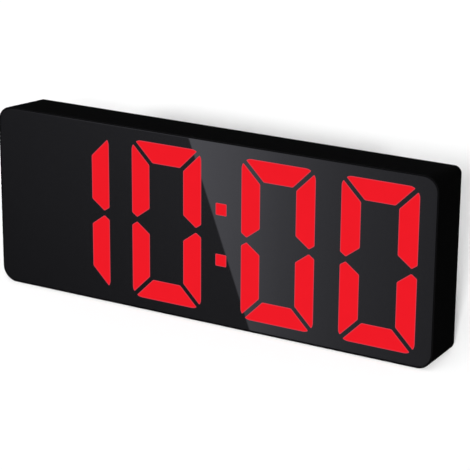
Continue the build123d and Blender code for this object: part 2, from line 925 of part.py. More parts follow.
def make_rear_housing():
    """The one-piece case: sides, rear wall and everything moulded on them."""
    outer = case_form(0, case_depth)
    outer = fillet(outer.faces().sort_by(Axis.Y)[-1].edges(), rear_edge_round)
    outer = fillet(outer.faces().sort_by(Axis.Y)[0].edges(), lip_round)
    recess = RectangleRounded(case_width - 2 * lip, case_height - 2 * lip, front_corner - lip)
    housing = outer - slab(Pos(0, case_middle) * recess, -overrun, seat_depth)
    housing -= case_form(seat_depth, rear_inner, wall, inner_corner)
    housing = add_battery_bay(housing)
    housing = add_screw_seats(housing)
    housing = add_button_pocket(housing)
    housing = add_keyholes(housing)
    housing = add_rear_holes(housing)
    for x, y in foot_places:
        housing -= Pos(x, y, foot_thick / 2) * Cylinder(foot_radius + slip, foot_thick)
    return housing


def make_battery_door():
    """The door: a plate hinged along its lower edge, with a sprung latch at its top edge."""
    left, right = bay_centre_x - door_width / 2, bay_centre_x + door_width / 2
    top = opening_top - fit_gap
    door = block(left, right, hinge_z, top, door_inner, case_depth)
    door += cross_bar(bay_centre_x, hinge_z, hinge_depth, door_thick / 2, door_width)
    pins_length = opening_width + 2 * hinge_pin_length
    door += cross_bar(bay_centre_x, hinge_z, hinge_depth, hinge_pin_radius, pins_length)
    left, right = bay_centre_x - latch_width / 2, bay_centre_x + latch_width / 2
    root = opening_top + latch_root
    tip = opening_top + latch_reach
    low = door_inner - latch_drop
    lid = case_depth - latch_top_sink
    door += block(left, right, top, root + latch_thick, door_inner, case_depth)
    door += block(left, right, root, root + latch_thick, low, case_depth)
    door += block(left, right, root, tip, low, low + latch_thick)
    door += block(left, right, tip - latch_thick, tip, low, lid)
    door += block(left, right, tip, tip + latch_nose, door_inner - latch_nose_height, door_inner)
    for number in range(grip_groove_count):
        z = top - (number + 1) * grip_groove_pitch
        groove = Pos(bay_centre_x, z) * Rectangle(grip_groove_length, grip_groove_width)
        door -= slab(groove, case_depth - grip_groove_depth, case_depth)
    return door


def make_rubber_feet():
    """Four round feet, each half sunk in the case's base."""
    feet = []
    for x, y in foot_places:
        foot = Pos(x, y, foot_thick / 2) * Cylinder(foot_radius, foot_thick)
        feet.append(fillet(foot.edges().sort_by(Axis.Z)[0], foot_round))
    return joined(feet)


def make_case_screws():
    """The screws that hold the display to the housing."""
    sizes = (case_screw_radius, case_screw_length, case_head_radius, case_head_height)
    return joined([screw(x, z, case_depth - case_head_seat, -1, *sizes) for x, z in post_places])


def make_all():
    """Every sub-part by name."""
    nodes = {
        "front_panel": make_front_panel(),
        "panel_tape": make_panel_tape(),
        "diffuser_film": make_diffuser_film(),
        "reflector_block": make_reflector_block(),
        "colon_dots": make_lenses(colon_outlines()),
        "segment_leds": make_segment_leds(),
        "display_board": make_display_board(),
        "display_board_screws": make_display_board_screws(),
        "display_resistors": make_display_resistors(),
        "control_board": make_control_board(),
        "control_board_screws": make_control_board_screws(),
        "link_header": make_link_header(),
        "link_pins": make_link_pins(),
        "buzzer": make_buzzer(),
        "filter_capacitor": make_filter_capacitor(),
        "clock_crystal": make_clock_crystal(),
        "socket_shell": make_socket_shell(),
        "socket_tongue": make_socket_tongue(),
        "battery_connector": make_battery_connector(),
        "rear_housing": make_rear_housing(),
        "battery_door": make_battery_door(),
        "rubber_feet": make_rubber_feet(),
        "case_screws": make_case_screws(),
    }
    for name, place in digit_places.items():
        lit = lit_letters[name]
        dark = [letter for letter in all_letters if letter not in lit]
        nodes[name + "_lit_segments"] = make_lenses(digit_outlines(place, lit))
        nodes[name + "_dark_segments"] = make_lenses(digit_outlines(place, dark))
    nodes["driver_chip"] = make_chip(
        driver_x, driver_z, driver_length, driver_width, driver_height, driver_leads, display_board_back
    )
    nodes["controller_chip"] = make_chip(
        controller_x,
        controller_z,
        controller_length,
        controller_width,
        controller_height,
        controller_leads,
        control_board_back,
    )
    for name, x in button_places.items():
        nodes[name + "_switch"] = make_switch(x)
        nodes[name + "_plunger"] = make_plunger(x)
        nodes[name + "_button"] = make_button(name, x)
    for number, z in enumerate(cell_heights):
        plus_side = 1 if number % 2 == 0 else -1
        nodes["battery_cell_" + str(number + 1)] = make_cell(z, plus_side)
        nodes["contact_spring_" + str(number + 1)] = make_spring(-plus_side, z)
    low, middle, high = cell_heights
    half = contact_width / 2
    nodes["positive_terminal"] = make_contact(1, low - half, low + half, low)
    nodes["right_link_contact"] = make_contact(1, middle - half, high + half)
    nodes["left_link_contact"] = make_contact(-1, low - half, middle + half)
    nodes["negative_terminal"] = make_contact(-1, high - half, high + half, high)
    half = contact_thick / 2
    plug_x = control_left + connector_inset
    plug_low = connector_centre_z - connector_pitch / 2
    plug_high = connector_centre_z + connector_pitch / 2
    tab_x = bay_right + bay_wall + tab_reach / 2
    nodes["positive_lead"] = make_lead([(tab_x, low + half), (tab_x, plug_low), (plug_x, plug_low)])
    tab_x = bay_left - bay_wall - tab_reach / 2
    over = bay_top + bay_wall + lead_rise
    rising = [(tab_x, high + half), (tab_x, over)]
    falling = [(lead_drop_x, over), (lead_drop_x, plug_high), (plug_x, plug_high)]
    nodes["negative_lead"] = make_lead(rising + falling)
    return nodes


os.makedirs("parts", exist_ok=True)
for node_name, node_shape in make_all().items():
    export_step(node_shape, "parts/" + node_name + ".step")
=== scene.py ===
import json
import math

import bpy
from bpy.props import FloatProperty, FloatVectorProperty, PointerProperty
from mathutils import Matrix, Vector


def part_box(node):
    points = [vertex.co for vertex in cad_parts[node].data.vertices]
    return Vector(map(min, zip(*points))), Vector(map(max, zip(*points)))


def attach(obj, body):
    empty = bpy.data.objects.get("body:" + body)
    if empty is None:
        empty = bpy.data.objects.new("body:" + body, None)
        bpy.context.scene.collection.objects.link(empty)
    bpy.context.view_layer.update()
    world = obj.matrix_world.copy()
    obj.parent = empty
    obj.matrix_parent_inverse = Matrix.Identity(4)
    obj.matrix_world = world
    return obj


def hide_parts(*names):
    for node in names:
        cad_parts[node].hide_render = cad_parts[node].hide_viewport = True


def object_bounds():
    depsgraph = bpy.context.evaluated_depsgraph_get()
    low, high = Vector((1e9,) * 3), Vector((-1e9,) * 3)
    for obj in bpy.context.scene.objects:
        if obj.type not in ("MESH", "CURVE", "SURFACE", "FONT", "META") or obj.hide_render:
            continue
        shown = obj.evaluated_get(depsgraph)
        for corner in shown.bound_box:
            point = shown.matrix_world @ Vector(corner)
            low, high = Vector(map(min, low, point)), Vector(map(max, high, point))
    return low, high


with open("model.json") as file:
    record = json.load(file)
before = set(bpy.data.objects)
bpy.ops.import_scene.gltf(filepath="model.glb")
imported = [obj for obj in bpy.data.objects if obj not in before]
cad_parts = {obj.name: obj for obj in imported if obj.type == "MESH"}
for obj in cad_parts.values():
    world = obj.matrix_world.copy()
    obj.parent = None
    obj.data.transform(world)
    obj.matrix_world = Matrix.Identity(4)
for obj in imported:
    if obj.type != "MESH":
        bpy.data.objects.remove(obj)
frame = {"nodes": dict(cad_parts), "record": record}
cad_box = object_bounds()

bl_info = {
    "name": "LED Desk Clock",
    "version": (1, 0, 0),
    "blender": (4, 5, 0),
    "location": "View3D > Sidebar > Clock",
    "description": "Dresses the packed desk clock with its panel, lit digits, controls and finishes",
    "category": "Object",
}

# A millimetre, in the scene's metres
MM = 0.001
# Places nearer than this count as one
TOUCH = 0.001 * MM
# How squarely a face looks one way before it counts as facing that way
FACING = 0.99


# Settings


def length(name, description, millimetres, least=0.0):
    """A length property whose default is given in millimetres."""
    return FloatProperty(
        name=name, description=description, default=millimetres * MM, unit="LENGTH", min=least, precision=5
    )


def angle(name, description, degrees):
    """An angle property whose default is given in degrees."""
    return FloatProperty(name=name, description=description, default=math.radians(degrees), subtype="ANGLE")


def number(name, description, default):
    """A plain number from nothing upwards."""
    return FloatProperty(name=name, description=description, default=default, min=0, precision=4)


def colour(name, description, default):
    """A colour property."""
    return FloatVectorProperty(
        name=name, description=description, default=default, subtype="COLOR", size=3, min=0, max=1
    )


class PanelSettings(bpy.types.PropertyGroup):
    """The smoked front panel."""

    corner: length("Corner", "Radius of the panel's four corners", 4.83)
    edge: length("Edge", "Width of the polished bevel round the front", 0.12)
    sink: length("Sink", "Depth of the panel's face behind the lit windows", 0.03)
    tint: colour("Tint", "Colour of the smoked acrylic", (0.0022, 0.0022, 0.0025))
    gloss: number("Roughness", "Roughness of the polished face", 0.009)


class DisplaySettings(bpy.types.PropertyGroup):
    """The lit digits and the colon."""

    upright: length("Upright stroke", "Width of a digit's upright segments", 6.85)
    bar: length("Bar stroke", "Height of a digit's top and bottom segments", 7.05)
    corner: length("Digit corner", "Radius of a digit's outer corners", 3.6)
    mitre: length("Mitre gap", "Gap across a corner between two segments", 1.5)
    tip_gap: length("Tip gap", "Gap between the upper and the lower uprights", 1.6)
    tip_inset: length("Tip inset", "Distance of an upright's tip from the digit's side", 2.0)
    outer_shoulder: length("Outer shoulder", "Drop from an upright's tip to its outer side", 1.35)
    inner_shoulder: length("Inner shoulder", "Drop from an upright's tip to its inner side", 3.6)
    easing: length("Easing", "Radius of the segments' own corners", 0.35)
    trim: length("Trim", "How far a lit window stands inside its lens", 0.2)
    depth: length("Depth", "Thickness of the lit windows", 0.4)
    rim: length("Rim", "Width of the paler rim of a lit window", 0.2)
    lit: colour("Lit colour", "Colour of a lit segment", (0.867, 0.0110, 0.0200))
    lit_rim: colour("Rim colour", "Colour of a lit segment's rim", (0.69, 0.05, 0.08))


class CaseSettings(bpy.types.PropertyGroup):
    """The moulded case, its keys, screws and feet, the cells and the socket."""

    black: colour("Case black", "Colour of the case's sides", (0.0013, 0.0013, 0.0014))
    # Painted light: the rear and its recesses take this lighter copy of the case's black
    rear_painted_light: colour("Rear painted light", "Colour of the case's rear and of its recesses", (0.03, 0.03, 0.0305))
    sheen: number("Sheen", "Strength of the soft sheen over the moulding", 0.14)
    grain: number("Grain", "Fineness of the mould texture", 2600.0)
    grain_depth: number("Grain depth", "Depth of the mould texture", 0.8)
    mark: colour("Mark", "Colour of the painted marks on the keys", (0.5, 0.5, 0.5))
    mark_size: length("Mark size", "Length of a painted mark", 2.7)
    mark_stroke: length("Mark stroke", "Width of a painted mark's lines", 0.5)
    paint: length("Paint", "Height of the paint over a key's hollow", 0.03)
    key_radius: length("Key radius", "Radius of a key's cap", 3.0)
    key_round: length("Key round", "Radius round the top of a key's cap", 0.3)
    collar: length("Collar", "Thickness of a key's hidden collar", 0.8)
    dish: length("Dish", "Depth of the hollow in a key's top", 0.18)
    screw_head: length("Screw head", "Radius of a screw's head", 2.0)
    screw_rise: length("Screw rise", "Height of a screw's head", 1.3)
    screw_shank: length("Screw shank", "Radius of a screw's shank", 1.0)
    screw_dome: length("Screw dome", "Radius round the top of a screw's head", 0.55)
    cross_arm: length("Cross arm", "Length across a screw's cross", 2.5)
    cross_width: length("Cross width", "Width of a screw's cross slots", 0.5)
    cross_depth: length("Cross depth", "Depth of a screw's cross", 0.9)
    nub: length("Nub", "Height of a cell's positive nub", 0.9)
    cell_round: length("Cell round", "Radius round a cell's ends", 0.4)
    band: length("Band", "Width of the pale band on a cell's sleeve", 9.0)
    band_place: length("Band place", "Distance of the band from a cell's positive end", 1.6)
    tongue: length("Tongue", "Thickness of the power socket's tongue", 0.7)
    foot_radius: length("Foot radius", "Radius of a rubber foot", 4.0)
    foot_round: length("Foot round", "Radius round the sole of a rubber foot", 0.2)
    ring_width: length("Ring width", "Width of a ring in a foot's sole", 0.4)
    ring_depth: length("Ring depth", "Depth of a ring in a foot's sole", 0.15)
    ring_wall: length("Ring wall", "Slant of the walls of a ring in a foot's sole", 0.05)


class StageSettings(bpy.types.PropertyGroup):
    """The camera, and the slanting edge that it sees mirrored in the panel."""

    yaw: angle("Yaw", "Camera's turn round the clock", 30.139)
    pitch: angle("Pitch", "Camera's tilt down", 18.295)
    roll: angle("Roll", "Camera's turn about its own line", 0.44)
    place: FloatVectorProperty(
        name="Place", description="Where the camera stands", default=(0.3113, -0.5272, 0.2305), unit="LENGTH"
    )
    lens: number("Lens", "Focal length in millimetres on a 36 mm frame", 149.06)
    gloss_top: length("Gloss top", "Where the mirrored edge meets the panel's top", -6.5, least=-1.0)
    gloss_low: length("Gloss bottom", "Where the mirrored edge meets the panel's bottom", 17.5, least=-1.0)


# Selecting and shaping


def deselect():
    """Leave nothing selected."""
    bpy.ops.object.select_all(action="DESELECT")


def make_active(obj):
    """Select one object alone."""
    deselect()
    obj.select_set(True)
    bpy.context.view_layer.objects.active = obj


def start_edit():
    """Go into edit mode."""
    bpy.ops.object.mode_set(mode="EDIT")


def end_edit():
    """Go back to object mode."""
    bpy.ops.object.mode_set(mode="OBJECT")


def clear_picks(kind):
    """Select by edges or by faces from now on, with none of them selected."""
    start_edit()
    bpy.ops.mesh.select_mode(type=kind)
    bpy.ops.mesh.select_all(action="DESELECT")
    end_edit()


def pick_edges(obj, test):
    """Select the edges whose two ends pass a test, and go into edit mode."""
    clear_picks("EDGE")
    points = obj.data.vertices
    for edge in obj.data.edges:
        edge.select = test(*(points[i].co for i in edge.vertices))
    start_edit()


def pick_faces(obj, test):
    """Select the faces whose centre and normal pass a test, and go into edit mode."""
    clear_picks("FACE")
    for face in obj.data.polygons:
        face.select = test(face.center, face.normal)
    start_edit()


def pick_all():
    """Go into edit mode with the whole of the active object selected."""
    start_edit()
    bpy.ops.mesh.select_all(action="SELECT")


def pick_cap(obj, way, reach):
    """Select the faces that look one way at the furthest reach of a form, and go into edit mode."""
    way = Vector(way)
    pick_faces(obj, lambda centre, normal: normal.dot(way) > FACING and centre.dot(way) > reach - TOUCH)


def step_cap(inset=0.0, rise=0.0, way=(0, 1, 0)):
    """Draw the selected cap in, then raise or sink it."""
    if inset:
        bpy.ops.mesh.inset(thickness=inset, depth=0)
    if rise:
        bpy.ops.mesh.extrude_region_move(TRANSFORM_OT_translate={"value": Vector(way) * rise})


def keep_sharp(obj, degrees):
    """Of the selected edges, keep those whose two faces turn by more than an angle."""
    end_edit()
    faces = {}
    for face in obj.data.polygons:
        for key in face.edge_keys:
            faces.setdefault(key, []).append(face.normal.copy())
    for edge in obj.data.edges:
        normals = faces.get(edge.key, [])
        if edge.select and (len(normals) != 2 or normals[0].angle(normals[1]) < math.radians(degrees)):
            edge.select = False
    start_edit()


def bevel_picked(width, segments):
    """Bevel the selected edges, and leave edit mode."""
    bpy.ops.mesh.bevel(
        offset=width, offset_type="OFFSET", segments=segments, profile=0.5, affect="EDGES", clamp_overlap=True
    )
    end_edit()


def settle(obj, name):
    """Name an object, and put its place, turn and size into its mesh."""
    make_active(obj)
    obj.name = obj.data.name = name
    bpy.ops.object.transform_apply(location=True, rotation=True, scale=True)
    return obj


def add_block(name, low, high):
    """A box primitive between two corners, settled in the frame."""
    deselect()
    low, high = Vector(low), Vector(high)
    bpy.ops.mesh.primitive_cube_add(size=1, location=(low + high) / 2)
    bpy.context.object.scale = high - low
    return settle(bpy.context.object, name)


def add_round(name, start, end, radius, sides=64):
    """A cylinder primitive between two points, settled in the frame."""
    deselect()
    start, end = Vector(start), Vector(end)
    bpy.ops.mesh.primitive_cylinder_add(vertices=sides, radius=radius, depth=(end - start).length)
    bpy.context.object.rotation_euler = (end - start).to_track_quat("Z", "Y").to_euler()
    bpy.context.object.location = (start + end) / 2
    return settle(bpy.context.object, name)


def add_plane(name, size, place, turn=0.0):
    """A plane primitive turned about X, settled in the frame."""
    deselect()
    bpy.ops.mesh.primitive_plane_add(size=size, location=place, rotation=(turn, 0, 0))
    return settle(bpy.context.object, name)


def copy_to(obj, places, start):
    """Copies of a form made at the start, each with its own mesh. The form itself goes."""
    copies = []
    for place in places:
        make_active(obj)
        bpy.ops.object.duplicate()
        twin = bpy.context.object
        twin.location = Vector(place) - Vector(start)
        copies.append(settle(twin, twin.name))
    bpy.data.objects.remove(obj)
    return copies


def cut_away(obj, cutter):
    """Take one form out of another."""
    make_active(obj)
    bpy.ops.object.modifier_add(type="BOOLEAN")
    modifier = obj.modifiers[-1]
    modifier.operation = "DIFFERENCE"
    modifier.solver = "EXACT"
    modifier.object = cutter
    bpy.ops.object.modifier_apply(modifier=modifier.name)
    bpy.data.objects.remove(cutter)


def join(objects, name):
    """Several objects as one."""
    make_active(objects[0])
    for obj in objects:
        obj.select_set(True)
    bpy.ops.object.join()
    objects[0].name = objects[0].data.name = name
    return objects[0]


def smooth(obj, degrees):
    """Shade smooth up to an angle, with flat faces kept flat up to their bevels."""
    make_active(obj)
    bpy.ops.object.shade_smooth_by_angle(angle=math.radians(degrees))
    bpy.ops.object.modifier_add(type="WEIGHTED_NORMAL")
    obj.modifiers[-1].keep_sharp = True
    bpy.ops.object.modifier_apply(modifier=obj.modifiers[-1].name)


def dress(obj, *materials):
    """Give an object its materials in order."""
    obj.data.materials.clear()
    for material in materials:
        obj.data.materials.append(material)


def along_y(a, b):
    """Whether an edge runs along Y."""
    return abs(a.x - b.x) < TOUCH and abs(a.z - b.z) < TOUCH


def finish_as(piece, body, slot, *nodes, degrees=35):
    """Smooth a piece, hang it from the body that it moves with, and hide the nodes that it stands for. Its
    slot is not used.
    """
    smooth(piece, degrees)
    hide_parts(*nodes)
    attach(piece, body)


# Nodes


def feed(tree, node, inputs):
    """Wire outputs into a node's inputs, or set the inputs' own values."""
    for key, value in inputs.items():
        if isinstance(value, bpy.types.NodeSocket):
            tree.links.new(value, node.inputs[key])
        else:
            node.inputs[key].default_value = value


def add_node(tree, kind, inputs=None, **values):
    """A node with its own values set, then its inputs fed."""
    node = tree.nodes.new(kind)
    for key, value in values.items():
        setattr(node, key, value)
    feed(tree, node, inputs or {})
    return node


def add_place(tree):
    """The object's own coordinates."""
    return add_node(tree, "ShaderNodeTexCoord").outputs["Object"]


def add_noise(tree, place, scale, **inputs):
    """Cloudy noise at a place."""
    noise = add_node(tree, "ShaderNodeTexNoise", {"Vector": place, "Scale": scale, **inputs})
    return noise.outputs["Fac"]


def add_parts(tree, place):
    """A place's X, Y and Z."""
    return add_node(tree, "ShaderNodeSeparateXYZ", {0: place}).outputs


def map_range(tree, value, start, end, least=0.0, most=1.0, shape="LINEAR"):
    """From least to most while a value goes from start to end, and held beyond them."""
    limits = {"Value": value, "From Min": start, "From Max": end, "To Min": least, "To Max": most}
    return add_node(tree, "ShaderNodeMapRange", limits, interpolation_type=shape).outputs["Result"]


def join_values(tree, operation, *values):
    """Several values as one, by one operation."""
    total = values[0]
    for value in values[1:]:
        total = add_node(tree, "ShaderNodeMath", {0: total, 1: value}, operation=operation).outputs[0]
    return total


def mix(tree, kind, share, first, second):
    """The first of two numbers or colours turned into the second by a share."""
    inputs = {"Factor": share, "A": first, "B": second}
    return add_node(tree, "ShaderNodeMix", inputs, data_type=kind).outputs["Result"]


def scale_tone(tree, tone, share):
    """A tone made darker or lighter by a share."""
    return add_node(tree, "ShaderNodeVectorMath", {0: tone, "Scale": share}, operation="SCALE").outputs[0]


def empty_tree(owner):
    """A material's or a world's node tree with nothing in it."""
    owner.use_nodes = True
    owner.node_tree.nodes.clear()
    return owner.node_tree


# Shared effects


def new_group(name, inputs, *outputs):
    """An empty node group with named inputs and outputs: its tree, what it is given and its end node."""
    tree = bpy.data.node_groups.new(name, "ShaderNodeTree")
    for label, default in inputs.items():
        kind = "NodeSocketColor" if isinstance(default, tuple) else "NodeSocketFloat"
        tree.interface.new_socket(name=label, in_out="INPUT", socket_type=kind).default_value = default
    for label in outputs:
        kind = "NodeSocketColor" if label == "Colour" else "NodeSocketFloat"
        tree.interface.new_socket(name=label, in_out="OUTPUT", socket_type=kind)
    return tree, add_node(tree, "NodeGroupInput").outputs, add_node(tree, "NodeGroupOutput")


def place_group(tree, name, **inputs):
    """Put a shared effect into a node tree with its own values."""
    return add_node(tree, "ShaderNodeGroup", inputs, node_tree=bpy.data.node_groups[name]).outputs


def make_grain_group():
    """Fine mould texture: a height, and a mask of its pits that places painted shade in them."""
    coarse_share = 0.13
    lowest, highest = 0.35, 0.65
    tree, given, end = new_group("mould_grain", {"Scale": 5000.0, "Coarse": 0.3}, "Height", "Mask")
    place = add_place(tree)
    fine = add_noise(tree, place, given["Scale"], Detail=3.0)
    wide = add_noise(tree, place, join_values(tree, "MULTIPLY", given["Scale"], coarse_share))
    height = mix(tree, "FLOAT", given["Coarse"], fine, wide)
    feed(tree, end, {"Height": height, "Mask": map_range(tree, height, lowest, highest)})


def make_tone_group():
    """Slow changes between two tones over a surface."""
    inputs = {"Colour": (0.1, 0.1, 0.1, 1), "Other": (0.12, 0.12, 0.12, 1), "Scale": 60.0}
    tree, given, end = new_group("slow_tone", inputs, "Colour")
    cloud = add_noise(tree, add_place(tree), given["Scale"], Detail=4.0)
    feed(tree, end, {"Colour": mix(tree, "RGBA", cloud, given["Colour"], given["Other"])})


def make_handling_group():
    """Roughness with faint smudges and wiped streaks."""
    stretch = (1.0, 1.0, 2.6)
    clean_end, handled_start = 0.42, 0.68
    inputs = {"Clean": 0.3, "Handled": 0.4, "Scale": 40.0}
    tree, given, end = new_group("handling", inputs, "Roughness")
    streaks = add_node(tree, "ShaderNodeMapping", {"Vector": add_place(tree), "Scale": stretch})
    cloud = add_noise(tree, streaks.outputs["Vector"], given["Scale"], Detail=5.0, Roughness=0.62)
    limits = (clean_end, handled_start, given["Clean"], given["Handled"])
    feed(tree, end, {"Roughness": map_range(tree, cloud, *limits, shape="SMOOTHSTEP")})


def make_pit_shading_group():
    """A tone with painted shade in the mould grain's pits and painted light on its tops."""
    # Shares of the tone for the painted shade in the pits and the painted light on the tops
    darkest, lightest = 0.72, 1.28
    inputs = {"Colour": (0.1, 0.1, 0.1, 1), "Scale": 3000.0}
    tree, given, end = new_group("pit_shading", inputs, "Colour")
    grain = place_group(tree, "mould_grain", Coarse=0.06, Scale=given["Scale"])
    share = map_range(tree, grain["Mask"], 0.0, 1.0, darkest, lightest)
    feed(tree, end, {"Colour": scale_tone(tree, given["Colour"], share)})


# Finishes

# Height of the mould texture where its depth is 1
GRAIN_HEIGHT = 0.08 * MM
# The rear's painted light, a lighter copy of the case's black: how far it keeps from the case's top and sides
# and from its bottom, how thick it is at the rear face, and the width over which it fades
REAR_MARGIN = 3 * MM
REAR_SILL = 1.2 * MM
REAR_RIM = 0.6 * MM
REAR_FADE = 0.3 * MM


def rgba(channels, share=1.0):
    """A colour with its alpha, made lighter or darker by a share."""
    return (*(channel * share for channel in channels), 1.0)


def new_material(name):
    """A material with its node tree and its shader, ready for its effects."""
    material = bpy.data.materials.new(name)
    material.use_nodes = True
    return material, material.node_tree, material.node_tree.nodes["Principled BSDF"]


def add_tone(tree, tone, spread, scale):
    """A tone that drifts lighter and darker by a spread."""
    darker, lighter = rgba(tone, 1 - spread), rgba(tone, 1 + spread)
    return place_group(tree, "slow_tone", Colour=darker, Other=lighter, Scale=scale)["Colour"]


def add_handling(tree, clean, handled, scale):
    """Roughness from clean to handled."""
    return place_group(tree, "handling", Clean=clean, Handled=handled, Scale=scale)["Roughness"]


def add_grain(tree, scale, depth):
    """The mould grain as a normal."""
    height = place_group(tree, "mould_grain", Scale=scale)["Height"]
    bump = add_node(tree, "ShaderNodeBump", {"Strength": depth, "Distance": GRAIN_HEIGHT, "Height": height})
    return bump.outputs["Normal"]


def make_finish(name, tone, rough=(0.4, 0.5), metal=0.0, grain=3000.0, depth=0.1, spread=0.25):
    """A finish with slow tone, handling marks and grain in place."""
    material, tree, shader = new_material(name)
    inputs = {
        "Metallic": metal,
        "Base Color": add_tone(tree, tone, spread, scale=55.0),
        "Roughness": add_handling(tree, *rough, scale=70.0),
        "Normal": add_grain(tree, grain, depth),
    }
    feed(tree, shader, inputs)
    return material


def make_panel_finish():
    """Polished smoked acrylic."""
    values = bpy.context.scene.clock_panel
    material, tree, shader = new_material("smoked_acrylic")
    inputs = {
        "Base Color": add_tone(tree, values.tint, spread=0.1, scale=25.0),
        "Roughness": add_handling(tree, values.gloss, values.gloss * 1.25, scale=30.0),
        "IOR": 1.5,
    }
    feed(tree, shader, inputs)
    return material


def make_lit_finish(name, tone):
    """Light that shows through a window, even and without shine."""
    material, tree, shader = new_material(name)
    inputs = {
        "Base Color": (0, 0, 0, 1),
        "Specular IOR Level": 0.0,
        "Roughness": 0.6,
        "Emission Color": add_tone(tree, tone, spread=0.03, scale=180.0),
        "Emission Strength": 1.0,
    }
    feed(tree, shader, inputs)
    return material


def within(tree, value, low, high):
    """One between two places and nothing outside them, with soft ends."""
    ends = [map_range(tree, value, low, low + REAR_FADE), map_range(tree, value, high, high - REAR_FADE)]
    return join_values(tree, "MULTIPLY", *ends)


def rear_light_mask(tree):
    """Where the painted light goes: one on the rear face and in its recesses, and nothing on the outer sides.
    """
    (left, _, bottom), (right, rear, top) = cad_box
    parts = add_parts(tree, add_place(tree))
    face = map_range(tree, parts["Y"], rear - REAR_RIM, rear - REAR_RIM + REAR_FADE)
    across = within(tree, parts["X"], left + REAR_MARGIN, right - REAR_MARGIN)
    upward = within(tree, parts["Z"], bottom + REAR_SILL, top - REAR_MARGIN)
    return join_values(tree, "MAXIMUM", face, join_values(tree, "MULTIPLY", across, upward))


def make_case_finish():
    """Matt black moulding with a soft sheen, and painted light that makes its rear and recesses lighter."""
    values = bpy.context.scene.clock_case
    material, tree, shader = new_material("moulded_black")
    side = add_tone(tree, values.black, spread=0.1, scale=40.0)
    # Painted light: a lighter copy of the black for the rear and its recesses
    rear = place_group(tree, "pit_shading", Colour=rgba(values.rear_painted_light), Scale=values.grain)["Colour"]
    inputs = {
        "IOR": 1.0,
        "Base Color": mix(tree, "RGBA", rear_light_mask(tree), side, rear),
        "Roughness": add_handling(tree, clean=0.42, handled=0.5, scale=60.0),
        "Coat Weight": values.sheen,
        "Coat Roughness": 0.38,
        "Normal": add_grain(tree, values.grain, values.grain_depth),
    }
    feed(tree, shader, inputs)
    return material


def make_finishes():
    """The finish of each material slot in the record."""
    case = make_case_finish()
    return {
        "panel": make_finish("panel_core", (0.01, 0.01, 0.011), rough=(0.05, 0.1)),
        "tape": make_finish("foam_tape", (0.02, 0.02, 0.02), rough=(0.8, 0.9), depth=0.4),
        "film": make_finish("frosted_film", (0.5, 0.5, 0.51), rough=(0.5, 0.6)),
        "reflector": make_finish("white_moulding", (0.78, 0.78, 0.76), spread=0.03),
        "lit_segment": make_lit_finish("lit_lens", bpy.context.scene.clock_display.lit),
        "dark_segment": make_finish("milky_lens", (0.32, 0.29, 0.29), rough=(0.3, 0.4), spread=0.05),
        "led": make_finish("diode_resin", (0.8, 0.74, 0.45), rough=(0.2, 0.3), spread=0.05),
        "circuit_board": make_finish("solder_mask", (0.02, 0.13, 0.055), rough=(0.25, 0.35)),
        "screw": make_finish(
            "blackened_steel", (0.13, 0.13, 0.135), rough=(0.3, 0.42), metal=0.6, grain=9000.0
        ),
        "component": make_finish("moulded_component", (0.018, 0.018, 0.019), rough=(0.45, 0.6)),
        "contact": make_finish("nickel", (0.62, 0.6, 0.56), rough=(0.2, 0.32), metal=1.0, spread=0.06),
        "capacitor": make_finish("bare_can", (0.72, 0.72, 0.74), rough=(0.2, 0.3), metal=1.0, spread=0.04),
        "crystal": make_finish("plated_can", (0.7, 0.7, 0.69), rough=(0.15, 0.25), metal=1.0, spread=0.04),
        "socket_steel": make_finish(
            "socket_steel", (0.6, 0.6, 0.59), rough=(0.3, 0.4), metal=0.7, spread=0.05
        ),
        "connector": make_finish("natural_nylon", (0.74, 0.71, 0.63), spread=0.05),
        "housing": case,
        "door": case,
        "foot": make_finish("soft_rubber", (0.012, 0.012, 0.012), rough=(0.7, 0.85), depth=0.35),
        "button": make_finish("satin_key", (0.02, 0.02, 0.021), rough=(0.28, 0.4), depth=0.08),
        "switch_body": make_finish("switch_body", (0.025, 0.025, 0.025)),
        "plunger": make_finish("plunger", (0.05, 0.05, 0.05)),
        "cell": make_finish("cell_sleeve", (0.3, 0.31, 0.33), rough=(0.25, 0.4), metal=0.6),
        "red_lead": make_finish("red_insulation", (0.45, 0.015, 0.012)),
        "black_lead": make_finish("black_insulation", (0.012, 0.012, 0.012)),
    }


class CLOCK_OT_finishes(bpy.types.Operator):
    """Make the shared effects and give every carried-over part of the clock its material"""

    bl_idname = "clock.finishes"
    bl_label = "Finishes"

    def execute(self, context):
        make_grain_group()
        make_tone_group()
        make_handling_group()
        make_pit_shading_group()
        finishes = make_finishes()
        slots = {row["node"]: row["material_slot"] for row in frame["record"]["subparts"]}
        for name, obj in frame["nodes"].items():
            dress(obj, finishes[slots[name]])
        return {"FINISHED"}


# Panel and digits

# The segments that are lit in each digit of the time shown
LIT = {"hour_tens": "bc", "hour_units": "abcdef", "minute_tens": "abcdef", "minute_units": "abcdef"}


class CLOCK_OT_panel(bpy.types.Operator):
    """Model the smoked panel that closes the front"""

    bl_idname = "clock.panel"
    bl_label = "Front Panel"

    def execute(self, context):
        values = context.scene.clock_panel
        low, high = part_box("front_panel")
        low.y += values.sink
        panel = add_block("smoked_panel", low, high)
        pick_edges(panel, along_y)
        bevel_picked(values.corner, segments=14)
        pick_edges(panel, lambda a, b: max(a.y, b.y) < low.y + TOUCH)
        bevel_picked(values.edge, segments=3)
        dress(panel, make_panel_finish())
        smooth(panel, degrees=30)
        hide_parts("front_panel")
        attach(panel, "clock")
        return {"FINISHED"}


